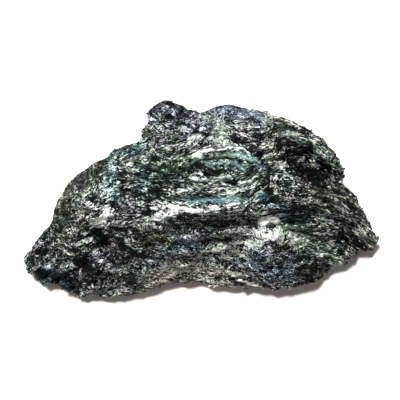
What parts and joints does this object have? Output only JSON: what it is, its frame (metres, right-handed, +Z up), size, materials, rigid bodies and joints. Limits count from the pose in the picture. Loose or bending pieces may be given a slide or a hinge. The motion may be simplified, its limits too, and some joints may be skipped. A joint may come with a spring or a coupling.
{
  "type": "raw mica rock",
  "caption": "Rough lump of raw mica rock: wavy dark green sheets that break off in ledges, with a steep front, a blunt horn and thin tapering ends.",
  "frame": {"origin": "on the surface the stone rests on, under the middle of its bounding box", "axes": "+X along the stone's length, +Y towards its high back edge, +Z up; the steep front face looks along -Y"},
  "size_m": [0.2176, 0.1138, 0.0655],
  "materials": {
    "mica": "dark green-black mica sheets, pearly on the cleavage faces, with teal, sage and pale patches"
  },
  "bodies": {
    "root": {"mica_rock": "mica"}
  },
  "joints": []
}
